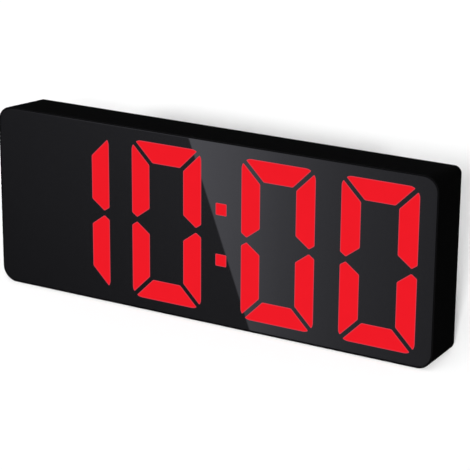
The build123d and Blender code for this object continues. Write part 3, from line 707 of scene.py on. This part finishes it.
def segment_points(letter, half_width, half_height):
    """A lit segment's corners about its digit's centre, as (x, z) in metres."""
    values = bpy.context.scene.clock_display
    shift = values.mitre / math.sqrt(2)
    if letter in "ad":
        level = 1 if letter == "a" else -1
        outer, inner = half_width - shift, half_width - values.bar - shift
        top, low = level * half_height, level * (half_height - values.bar)
        return [(-outer, top), (outer, top), (inner, low), (-inner, low)]
    side = 1 if letter in "bc" else -1
    level = 1 if letter in "bf" else -1
    outer = side * half_width
    inner = outer - side * values.upright
    return [
        (outer, level * (values.tip_gap / 2 + values.outer_shoulder)),
        (outer - side * values.tip_inset, level * values.tip_gap / 2),
        (inner, level * (values.tip_gap / 2 + values.inner_shoulder)),
        (inner, level * (half_height - values.upright - shift)),
        (outer, level * (half_height - shift)),
    ]


def cut_outline(obj, points, y):
    """Trim an object to a convex outline, one straight cut for each side that isn't the object's own."""
    middle = Vector((sum(x for x, z in points) / len(points), y, sum(z for x, z in points) / len(points)))
    for (x1, z1), (x2, z2) in zip(points, points[1:] + points[:1]):
        start, along = Vector((x1, y, z1)), Vector((x2 - x1, 0, z2 - z1))
        away = along.cross(Vector((0, 1, 0))).normalized()
        if away.dot(start - middle) < 0:
            away.negate()
        if max((point.co - start).dot(away) for point in obj.data.vertices) < TOUCH:
            continue
        pick_all()
        bpy.ops.mesh.bisect(plane_co=start, plane_no=away, use_fill=True, clear_outer=True, threshold=TOUCH)
        end_edit()


def finish_window(obj, finishes):
    """Ease a lit window's corners and give its face a rim."""
    values = bpy.context.scene.clock_display
    dress(obj, *finishes)
    pick_edges(obj, along_y)
    keep_sharp(obj, degrees=25)
    bevel_picked(values.easing, segments=3)
    pick_faces(obj, lambda centre, normal: normal.y < -FACING)
    step_cap(inset=values.rim)
    end_edit()
    for face in obj.data.polygons:
        face.material_index = 0 if face.select and face.normal.y < -FACING else 1


def make_digit(name, low, high, letters, front, finishes):
    """One digit's lit segments as a single piece."""
    values = bpy.context.scene.clock_display
    middle_x, middle_z = (low.x + high.x) / 2, (low.z + high.z) / 2
    half_width, half_height = (high.x - low.x) / 2, (high.z - low.z) / 2
    segments = []
    for letter in letters:
        obj = add_block("segment", (low.x, front, low.z), (high.x, front + values.depth, high.z))
        pick_edges(obj, along_y)
        bevel_picked(values.corner, segments=8)
        points = segment_points(letter, half_width, half_height)
        cut_outline(obj, [(middle_x + x, middle_z + z) for x, z in points], front)
        finish_window(obj, finishes)
        segments.append(obj)
    return join(segments, name)


class CLOCK_OT_digits(bpy.types.Operator):
    """Model the four lit digits and the colon as they show on the panel"""

    bl_idname = "clock.digits"
    bl_label = "Lit Digits"

    def execute(self, context):
        values = context.scene.clock_display
        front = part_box("front_panel")[0].y
        finishes = make_lit_finish("lit_red", values.lit), make_lit_finish("lit_red_rim", values.lit_rim)
        trim = Vector((values.trim, 0, values.trim))
        pieces = []
        for name, letters in LIT.items():
            lows, highs = zip(*(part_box(name + part) for part in ("_lit_segments", "_dark_segments")))
            low = Vector((min(p.x for p in lows), 0, min(p.z for p in lows)))
            high = Vector((max(p.x for p in highs), 0, max(p.z for p in highs)))
            pieces.append(make_digit(name + "_glow", low + trim, high - trim, letters, front, finishes))
        low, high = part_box("colon_dots")
        low, high = low + trim, high - trim
        size = high.x - low.x
        dots = []
        for bottom in (low.z, high.z - size):
            dot = add_block("dot", (low.x, front, bottom), (high.x, front + values.depth, bottom + size))
            finish_window(dot, finishes)
            dots.append(dot)
        pieces.append(join(dots, "colon_glow"))
        for piece in pieces:
            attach(piece, "clock")
        return {"FINISHED"}


# Keys

# The ways that the arms of a key's mark point
ARMS = {"down": ((1, 0, 0), (-1, 0, 0)), "up": ((1, 0, 0), (-1, 0, 0), (0, 0, 1), (0, 0, -1))}
# Thickness of a painted mark, part of it in the key
MARK_DEPTH = 0.1 * MM
# The shares of a key's hollow that each ring sinks, from the edge inwards
DISH_SHARES = (0.4, 0.35, 0.25)


def make_key_mark(name, x, z, top):
    """The painted mark of a key: a ring, a minus, a plus or a dot."""
    values = bpy.context.scene.clock_case
    half, thin, low = values.mark_size / 2, values.mark_stroke / 2, top - MARK_DEPTH
    if name in ("alarm", "set"):
        mark = add_round("mark", (x, low, z), (x, top, z), half if name == "alarm" else 2 * thin, sides=48)
        if name == "alarm":
            pick_faces(mark, lambda centre, normal: abs(normal.y) > FACING)
            step_cap(inset=2 * thin)
            bpy.ops.mesh.bridge_edge_loops()
            end_edit()
        return mark
    mark = add_block("mark", (x - thin, low, z - thin), (x + thin, top, z + thin))
    hub = Vector((x, (low + top) / 2, z))
    for way in ARMS[name]:
        tip = hub + Vector(way) * thin
        pick_faces(mark, lambda centre, normal: (centre - tip).length < thin / 2)
        step_cap(rise=half - thin, way=way)
        end_edit()
    return mark


def make_key_cap(low, high):
    """One key's cap with its collar and its dished top."""
    values = bpy.context.scene.clock_case
    x, z, foot = (low.x + high.x) / 2, (low.z + high.z) / 2, (high.x - low.x) / 2
    collar = low.y + values.collar
    cap = add_round("key_cap", (x, low.y, z), (x, collar, z), foot)
    pick_cap(cap, (0, 1, 0), collar)
    step_cap(inset=foot - values.key_radius, rise=high.y - collar)
    end_edit()
    pick_edges(cap, lambda a, b: min(a.y, b.y) > high.y - TOUCH)
    bevel_picked(values.key_round, segments=4)
    pick_cap(cap, (0, 1, 0), high.y)
    step_cap(inset=values.key_round)
    for share in DISH_SHARES:
        step_cap(inset=values.key_round)
        bpy.ops.transform.translate(value=(0, -values.dish * share, 0))
    end_edit()
    return cap


class CLOCK_OT_keys(bpy.types.Operator):
    """Model the four dished keys with their painted marks"""

    bl_idname = "clock.keys"
    bl_label = "Keys"

    def execute(self, context):
        values = context.scene.clock_case
        paint = make_finish("key_paint", values.mark, rough=(0.5, 0.6), depth=0.05, spread=0.06)
        low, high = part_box("alarm_button")
        names = ("alarm", "down", "up", "set")
        middles = [sum(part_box(name + "_button"), Vector()) / 2 for name in names]
        caps = copy_to(make_key_cap(low, high), middles, middles[0])
        top = high.y - values.dish + values.paint
        for name, middle, cap in zip(names, middles, caps):
            mark = make_key_mark(name, middle.x, middle.z, top)
            dress(cap, bpy.data.materials["satin_key"])
            dress(mark, paint)
            key = join([cap, mark], name + "_key_cap")
            finish_as(key, name + "_key", "button", name + "_button", degrees=40)
        return {"FINISHED"}


# Screws, cells, socket and feet

# How wide the floor of a screw's cross is, as a share of its mouth
CROSS_TAPER = 0.5
# A cell's ends from the sleeve inwards: how far each step goes in, and how far it rises, in millimetres
POSITIVE_END = ((0.9, 0.0), (0.1, -0.3), (1.1, 0.0), (0.05, 0.6), (0.3, 0.0), (0.2, 0.45), (0.25, 0.1))
NEGATIVE_END = ((0.8, 0.0), (0.1, -0.2), (0.5, 0.0), (0.1, 0.2))
# How far a cell's sleeve wraps over its ends
SLEEVE_LAP = 0.8 * MM
# The socket's contacts: the number on a face, their spacing and width, the distances of each one's ends
# from the tongue's tip, its height over the tongue and its eased corners
CONTACTS = 10
CONTACT_PITCH = 0.55 * MM
CONTACT_WIDTH = 0.3 * MM
CONTACT_ENDS = (4.2 * MM, 0.35 * MM)
CONTACT_RISE = 0.03 * MM
CONTACT_EASING = 0.02 * MM
# Rings in a foot's sole
RINGS = 2


class CLOCK_OT_screws(bpy.types.Operator):
    """Model the four case screws with domed heads and cross recesses"""

    bl_idname = "clock.screws"
    bl_label = "Case Screws"

    def execute(self, context):
        values = context.scene.clock_case
        low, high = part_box("case_screws")
        radius = values.screw_head
        start = (0, high.y, 0)
        seat, floor = high.y - values.screw_rise, high.y - values.cross_depth
        shank = add_round("case_screw", (0, low.y, 0), (0, seat, 0), values.screw_shank, sides=32)
        head = add_round("head", (0, seat, 0), start, radius, sides=48)
        pick_edges(head, lambda a, b: min(a.y, b.y) > high.y - TOUCH)
        bevel_picked(values.screw_dome, segments=5)
        for wide, tall in ((values.cross_arm, values.cross_width), (values.cross_width, values.cross_arm)):
            cutter = add_block("cutter", (-wide / 2, floor, -tall / 2), (wide / 2, high.y + MM, tall / 2))
            pick_cap(cutter, (0, -1, 0), -floor)
            bpy.ops.transform.resize(value=(CROSS_TAPER, 1, CROSS_TAPER), center_override=(0, floor, 0))
            end_edit()
            cut_away(head, cutter)
        screw = join([shank, head], "case_screw")
        ends = [(low.x + radius, high.x - radius), (low.z + radius, high.z - radius)]
        screws = copy_to(screw, [(x, high.y, z) for x in ends[0] for z in ends[1]], start)
        screws = join(screws, "case_screw_set")
        dress(screws, bpy.data.materials["blackened_steel"])
        finish_as(screws, "clock", "screw", "case_screws")
        return {"FINISHED"}


def make_cell(low, high, finishes):
    """One slim cell that lies along X with its positive end at the right."""
    values = bpy.context.scene.clock_case
    y, z, radius = (low.y + high.y) / 2, (low.z + high.z) / 2, (high.z - low.z) / 2
    right, left = Vector((1, 0, 0)), Vector((-1, 0, 0))
    shoulder = high.x - values.nub
    cell = add_round("cell", (low.x, y, z), (shoulder, y, z), radius, sides=72)
    dress(cell, *finishes)
    pick_edges(cell, lambda a, b: abs(a.x - b.x) < TOUCH)
    bevel_picked(values.cell_round, segments=3)
    band = [shoulder - values.band_place, shoulder - values.band_place - values.band]
    for cut in band:
        pick_all()
        bpy.ops.mesh.bisect(plane_co=(cut, y, z), plane_no=right)
        end_edit()
    for face in cell.data.polygons:
        face.material_index = 1 if band[1] < face.center.x < band[0] else 0
    for way, reach, steps in ((right, shoulder, POSITIVE_END), (left, -low.x, NEGATIVE_END)):
        pick_cap(cell, way, reach)
        for inset, rise in steps:
            step_cap(inset=inset * MM)
            step_cap(rise=rise * MM, way=way)
        end_edit()
        for face in cell.data.polygons:
            middle = face.center - Vector((0, y, z))
            near = (middle - way * middle.dot(way)).length < radius - SLEEVE_LAP
            if near and middle.dot(way) > reach - MM:
                face.material_index = 2
    return cell


class CLOCK_OT_cells(bpy.types.Operator):
    """Model the three slim cells with their sleeves, steel ends and nubs"""

    bl_idname = "clock.cells"
    bl_label = "Cells"

    def execute(self, context):
        shine = {"rough": (0.2, 0.32), "depth": 0.03, "grain": 900.0}
        finishes = (
            make_finish("cell_sleeve_dark", (0.05, 0.055, 0.065), **shine),
            make_finish("cell_sleeve_band", (0.6, 0.58, 0.52), metal=0.7, **shine),
            bpy.data.materials["nickel"],
        )
        boxes = [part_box("battery_cell_%d" % place) for place in (1, 2, 3)]
        middles = [(low + high) / 2 for low, high in boxes]
        cells = copy_to(make_cell(*boxes[0], finishes), middles, middles[0])
        make_active(cells[1])
        pick_all()
        bpy.ops.transform.rotate(
            value=math.pi, orient_axis="Z", orient_type="GLOBAL", center_override=middles[1]
        )
        end_edit()
        for place, cell in enumerate(cells, 1):
            cell.name = cell.data.name = "cell_%d" % place
            finish_as(cell, "clock", "cell", "battery_cell_%d" % place)
        return {"FINISHED"}


class CLOCK_OT_socket(bpy.types.Operator):
    """Lay the row of plated contacts on both faces of the socket's tongue"""

    bl_idname = "clock.socket"
    bl_label = "Socket Contacts"

    def execute(self, context):
        low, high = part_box("socket_tongue")
        socket_low, socket_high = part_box("socket_shell")
        middle = (socket_low.z + socket_high.z) / 2
        start, end = (high.y - distance for distance in CONTACT_ENDS)
        half, wide = context.scene.clock_case.tongue / 2, CONTACT_WIDTH / 2
        contacts = []
        for place in range(CONTACTS):
            x = (low.x + high.x) / 2 + (place - (CONTACTS - 1) / 2) * CONTACT_PITCH
            for z in (middle - half, middle + half):
                corners = (x - wide, start, z - CONTACT_RISE), (x + wide, end, z + CONTACT_RISE)
                contact = add_block("contact", *corners)
                pick_edges(contact, along_y)
                bevel_picked(CONTACT_EASING, segments=1)
                contacts.append(contact)
        contacts = join(contacts, "socket_contacts")
        gold = make_finish(
            "gold_plating", (0.83, 0.62, 0.28), rough=(0.18, 0.28), metal=1.0, spread=0.05, depth=0.02
        )
        dress(contacts, gold)
        finish_as(contacts, "clock", "contact", degrees=30)
        return {"FINISHED"}


class CLOCK_OT_feet(bpy.types.Operator):
    """Model the four rubber feet with their moulded rings"""

    bl_idname = "clock.feet"
    bl_label = "Rubber Feet"

    def execute(self, context):
        values = context.scene.clock_case
        low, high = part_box("rubber_feet")
        radius = values.foot_radius
        foot = add_round("foot", (0, 0, high.z), (0, 0, low.z), radius)
        pick_edges(foot, lambda a, b: max(a.z, b.z) < low.z + TOUCH)
        bevel_picked(values.foot_round, segments=3)
        pick_cap(foot, (0, 0, -1), -low.z)
        for _ in range(RINGS):
            step_cap(inset=values.ring_width)
            for rise in (-values.ring_depth, values.ring_depth):
                step_cap(inset=values.ring_wall, rise=rise, way=(0, 0, -1))
                step_cap(inset=values.ring_width)
        end_edit()
        ends = [(low.x + radius, high.x - radius), (low.y + radius, high.y - radius)]
        feet = copy_to(foot, [(x, y, 0) for x in ends[0] for y in ends[1]], (0, 0, 0))
        feet = join(feet, "rubber_foot_set")
        dress(feet, bpy.data.materials["soft_rubber"])
        finish_as(feet, "clock", "foot", "rubber_feet")
        return {"FINISHED"}


# Stage

# The lamps' names, sides, heights, strengths and widths, with angles in degrees
FLOOR_LAMPS = (
    ("low_lamp", 20.8, 15.75, 4.85, 4.8),
    ("halo_lamp", 31.2, 14.4, 2.55, 2.4),
    ("high_lamp", 10, 42, 1.1, 50.0),
)
CLOCK_LAMPS = (("front_lamp", 10, 30, 2.4, 50.0), ("rear_lamp", 195, 26, 3.3, 40.0))
LAMP_DISTANCE = 2.0
FLOOR_SIZE = 14.0
# How far the floor lies under the feet, so that they don't share a plane
FLOOR_DROP = 0.05 * MM
# Where the mirrored wall stands, in front of the clock, and its size
WALL_Y = -0.6
WALL_SIZE = 4.0
# Half the width over which the wall turns from dark to light
WALL_EDGE = 0.5 * MM
# Greys of the wall's dark and light side, each at its share of the way across the panel
DARK_STOPS = ((0.0, 0.1), (0.45, 0.165), (0.6, 0.165), (1.0, 0.12))
LIGHT_STOPS = ((0.42, 0.79), (0.50, 0.72), (0.6, 0.58), (0.67, 0.44), (0.75, 0.35), (0.85, 0.26), (1.0, 0.19))
# How much stronger each side is at the panel's bottom and at its top
DARK_FADE = (1.25, 2.06)
LIGHT_FADE = (1.7, 2.06)
# How much stronger the wall's blue is
WALL_BLUE = 1.12
# Greys of the paper where the camera doesn't see it, of the room in mirrors, before the clock and
# behind it, and of the room to rough surfaces
PAPER_GREY = 0.7
ROOM_MIRRORED = (0.6, 0.04)
ROOM_FILL = 0.2
# The directions between which the room turns dark, as shares of straight back
CURTAIN = (0.05, 0.4)
# The camera's frame in millimetres, and the nearest that it sees in metres
FRAME_WIDTH = 36
NEAREST = 0.01


def wall_point(values, x, z):
    """Where the line from the mirrored camera through a point of the panel meets the wall."""
    panel_y = cad_box[0][1]
    eye = Vector((values.place[0], 2 * panel_y - values.place[1], values.place[2]))
    point = Vector((x, panel_y, z))
    return eye + (point - eye) * ((WALL_Y - eye.y) / (panel_y - eye.y))


def add_ramp(tree, share, stops):
    """A ramp of the wall's greys."""
    ramp = add_node(tree, "ShaderNodeValToRGB", {"Fac": share})
    elements = ramp.color_ramp.elements
    while len(elements) < len(stops):
        elements.new(1.0)
    for element, (position, level) in zip(elements, stops):
        element.position = position
        element.color = (level, level, level * WALL_BLUE, 1)
    return ramp.outputs["Color"]


def make_wall_finish(values):
    """The wall that the panel mirrors: dark on the left of a slanting edge and light on its right."""
    (left, _, bottom), (right, _, ceiling) = cad_box
    top = wall_point(values, values.gloss_top, ceiling)
    low = wall_point(values, values.gloss_low, bottom)
    along = (top - low).normalized()
    across = Vector((along.z, 0, -along.x))
    material = bpy.data.materials.new("studio_wall")
    tree = empty_tree(material)
    place = add_place(tree)
    offset = add_node(tree, "ShaderNodeVectorMath", {0: place, 1: low}, operation="SUBTRACT").outputs[0]
    dot = add_node(tree, "ShaderNodeVectorMath", {0: offset, 1: across}, operation="DOT_PRODUCT")
    edge = map_range(tree, dot.outputs["Value"], -WALL_EDGE, WALL_EDGE)
    parts = add_parts(tree, place)
    ends = [wall_point(values, x, bottom).x for x in (left, right)]
    spread = map_range(tree, parts["X"], *ends)
    sides = []
    for stops, fade in ((DARK_STOPS, DARK_FADE), (LIGHT_STOPS, LIGHT_FADE)):
        rise = map_range(tree, parts["Z"], low.z, top.z, *fade)
        sides.append(scale_tone(tree, add_ramp(tree, spread, stops), rise))
    glow = add_node(tree, "ShaderNodeEmission", {"Color": mix(tree, "RGBA", edge, *sides)})
    add_node(tree, "ShaderNodeOutputMaterial", {"Surface": glow.outputs[0]})
    return material


def make_wall(values):
    """The wall that stands before the clock and shows in mirrors alone."""
    wall = add_plane("studio_wall", WALL_SIZE, (0, WALL_Y, 0), turn=math.radians(90))
    dress(wall, make_wall_finish(values))
    for ray in ("camera", "diffuse", "shadow", "transmission", "volume_scatter"):
        setattr(wall, "visible_" + ray, False)


def make_floor_finish():
    """Pale paper, white to the camera and a little greyer to everything else."""
    material, tree, shader = new_material("white_paper")
    seen = add_node(tree, "ShaderNodeLightPath").outputs["Is Camera Ray"]
    greys = rgba((PAPER_GREY,) * 3), rgba((1, 1, 1))
    inputs = {"Roughness": 0.9, "Specular IOR Level": 0.0, "Base Color": mix(tree, "RGBA", seen, *greys)}
    feed(tree, shader, inputs)
    return material


def make_floor():
    """The floor, which mirrors don't show."""
    floor = add_plane("floor", FLOOR_SIZE, (0, 0, -FLOOR_DROP))
    dress(floor, make_floor_finish())
    floor.visible_glossy = False
    return floor


def make_world():
    """A room, white where it is seen, grey in mirrors, darker behind the clock, and dim elsewhere."""
    world = bpy.data.worlds.new("room")
    bpy.context.scene.world = world
    tree = empty_tree(world)
    rays = add_node(tree, "ShaderNodeLightPath").outputs
    parts = add_parts(tree, add_node(tree, "ShaderNodeTexCoord").outputs["Generated"])
    curtain = map_range(tree, parts["Y"], *CURTAIN, *ROOM_MIRRORED, shape="SMOOTHSTEP")
    seen = join_values(tree, "MAXIMUM", rays["Is Camera Ray"], rays["Is Transmission Ray"])
    mirrored = join_values(tree, "MULTIPLY", rays["Is Glossy Ray"], curtain)
    fill = join_values(tree, "MULTIPLY", rays["Is Diffuse Ray"], ROOM_FILL)
    strength = join_values(tree, "MAXIMUM", seen, mirrored, fill)
    back = add_node(tree, "ShaderNodeBackground", {"Color": (1, 1, 1, 1), "Strength": strength})
    add_node(tree, "ShaderNodeOutputWorld", {"Surface": back.outputs[0]})


def towards(turn, lift):
    """The direction to a place at a turn round the clock and a lift above the floor."""
    return Vector((math.sin(turn) * math.cos(lift), -math.cos(turn) * math.cos(lift), math.sin(lift)))


def add_sun(name, azimuth, elevation, strength, softness):
    """A soft distant lamp from a direction, its three angles in degrees."""
    way = towards(math.radians(azimuth), math.radians(elevation))
    light = bpy.data.lights.new(name, "SUN")
    light.energy = strength
    light.angle = math.radians(softness)
    lamp = bpy.data.objects.new(name, light)
    lamp.rotation_euler = way.to_track_quat("Z", "Y").to_euler()
    lamp.location = way * LAMP_DISTANCE
    bpy.context.scene.collection.objects.link(lamp)
    return lamp


def light_only(lamp, obj, state):
    """Light an object alone, or everything but that object. Its shadows stay."""
    group = bpy.data.collections.new(lamp.name + "_lights")
    group.objects.link(obj)
    lamp.light_linking.receiver_collection = group
    group.collection_objects[0].light_linking.link_state = state


def add_lamps(floor):
    """Lamps for the floor alone and for all but the floor. The rear one shows in no mirror."""
    for row in FLOOR_LAMPS:
        light_only(add_sun(*row), floor, "INCLUDE")
    for row in CLOCK_LAMPS:
        light_only(add_sun(*row), floor, "EXCLUDE")
    bpy.data.objects["rear_lamp"].visible_glossy = False


def add_camera(values):
    """The camera at the photo's viewing angle."""
    back = towards(values.yaw, values.pitch)
    right = Vector((math.cos(values.yaw), math.sin(values.yaw), 0))
    up = back.cross(right)
    across = right * math.cos(values.roll) + up * math.sin(values.roll)
    rise = up * math.cos(values.roll) - right * math.sin(values.roll)
    data = bpy.data.cameras.new("camera")
    data.lens = values.lens
    data.sensor_width = FRAME_WIDTH
    data.clip_start = NEAREST
    camera = bpy.data.objects.new("camera", data)
    bpy.context.scene.collection.objects.link(camera)
    turned = Matrix((across, rise, back)).transposed().to_4x4()
    camera.matrix_world = Matrix.Translation(values.place) @ turned
    bpy.context.scene.camera = camera


class CLOCK_OT_stage(bpy.types.Operator):
    """Set up the floor, the mirrored wall, the room, the lamps and the camera"""

    bl_idname = "clock.stage"
    bl_label = "Stage"

    def execute(self, context):
        values = context.scene.clock_stage
        context.scene.view_settings.view_transform = "Standard"
        floor = make_floor()
        make_wall(values)
        make_world()
        add_lamps(floor)
        add_camera(values)
        return {"FINISHED"}


# The add-on

STEPS = (CLOCK_OT_finishes, CLOCK_OT_panel, CLOCK_OT_digits, CLOCK_OT_keys, CLOCK_OT_screws)
STEPS += (CLOCK_OT_cells, CLOCK_OT_socket, CLOCK_OT_feet, CLOCK_OT_stage)
GROUPS = {
    "clock_panel": PanelSettings,
    "clock_display": DisplaySettings,
    "clock_case": CaseSettings,
    "clock_stage": StageSettings,
}


class CLOCK_PT_panel(bpy.types.Panel):
    """The clock's steps and settings in the sidebar"""

    bl_idname = "CLOCK_PT_panel"
    bl_label = "LED Desk Clock"
    bl_space_type = "VIEW_3D"
    bl_region_type = "UI"
    bl_category = "Clock"

    def draw(self, context):
        column = self.layout.column()
        for step in STEPS:
            column.operator(step.bl_idname)
        for name, group in GROUPS.items():
            box = self.layout.box()
            for key in group.__annotations__:
                box.prop(getattr(context.scene, name), key)


def register():
    for kind in (*GROUPS.values(), *STEPS, CLOCK_PT_panel):
        bpy.utils.register_class(kind)
    for name, group in GROUPS.items():
        setattr(bpy.types.Scene, name, PointerProperty(type=group))


def unregister():
    for name in GROUPS:
        delattr(bpy.types.Scene, name)
    for kind in (CLOCK_PT_panel, *STEPS, *GROUPS.values()):
        bpy.utils.unregister_class(kind)


def main():
    register()
    bpy.ops.clock.finishes()
    bpy.ops.clock.panel()
    bpy.ops.clock.digits()
    bpy.ops.clock.keys()
    bpy.ops.clock.screws()
    bpy.ops.clock.cells()
    bpy.ops.clock.socket()
    bpy.ops.clock.feet()
    bpy.ops.clock.stage()


if __name__ == "__main__":
    main()
